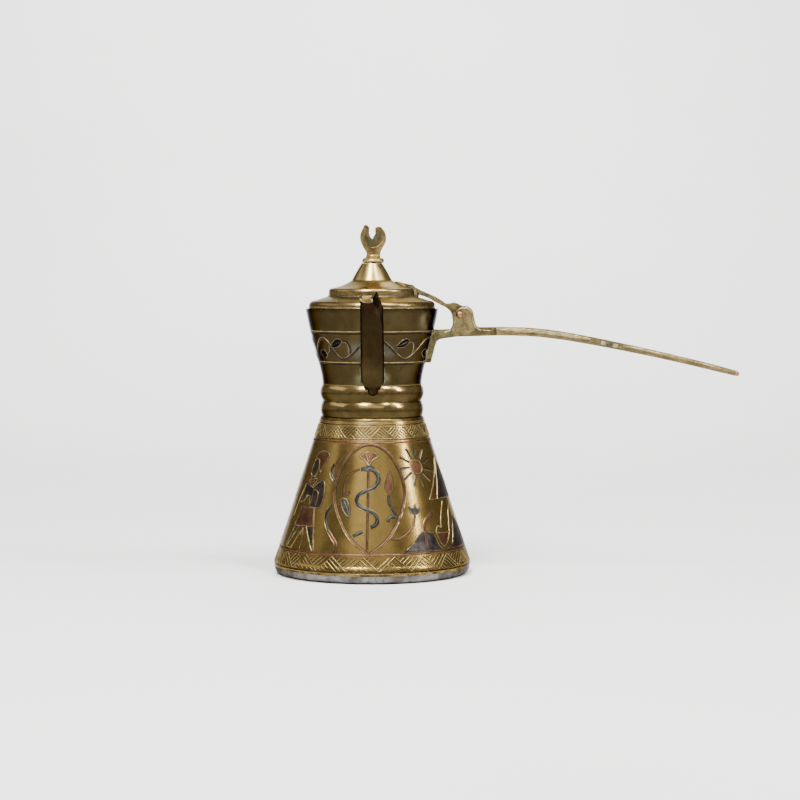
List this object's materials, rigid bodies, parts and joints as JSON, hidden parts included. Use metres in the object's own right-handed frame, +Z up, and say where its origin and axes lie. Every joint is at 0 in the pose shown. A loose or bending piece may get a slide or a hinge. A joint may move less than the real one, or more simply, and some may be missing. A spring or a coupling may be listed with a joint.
{
  "type": "long-handled coffee pot",
  "caption": "Long-handled brass coffee pot with a conical body, flared collar, open beak spout and a hinged domed lid with a crescent finial.",
  "frame": {"origin": "centre of the flat face that the pot stands on", "axes": "+Z up; +X along the handle, away from the body; the spout points towards -Y; the lid's hinge axis is parallel to Y"},
  "size_m": [0.2333, 0.0982, 0.174],
  "materials": {
    "body_brass": "hand-polished brass gone olive with age",
    "collar_brass": "darker olive-brown aged brass",
    "spout_brass": "aged brass, darker towards the lip",
    "lid_brass": "turned and polished brass",
    "finial_brass": "cast brass, green in the recesses",
    "hinge_brass": "cast pale brass, filed, green at the joints",
    "handle_brass": "filed pale brass, dull",
    "copper": "copper, lightly tarnished",
    "tinned_sheet": "tinned sheet, mottled grey",
    "soft_solder": "dull grey soft solder",
    "silver_inlay": "let-in silver, tarnished blue-grey",
    "chased_line": "bright cut lines",
    "dark_groove": "patina left in the cut grooves"
  },
  "bodies": {
    "pot": {"base_plate": "tinned_sheet", "base_solder_seam": "soft_solder", "lower_body": "body_brass", "copper_border_wires": "copper", "upper_body": "collar_brass", "spout": "spout_brass", "handle_bracket": "hinge_brass", "hinge_pin": "copper", "handle_bar": "handle_brass", "splice_solder": "soft_solder", "handle_tail": "handle_brass", "handle_tip": "copper"},
    "lid": {"lid_shell": "lid_brass", "lid_bezel": "lid_brass", "lid_strap": "hinge_brass", "strap_solder": "soft_solder", "finial_ring": "finial_brass", "crescent_finial": "finial_brass", "finial_burr": "finial_brass"}
  },
  "joints": [
    {"name": "lid_hinge", "type": "hinge", "parent": "pot", "child": "lid", "pos_m": [0.0436, 0, 0.1293], "axis": [0, 1, 0], "range_deg": [0, 105]}
  ]
}
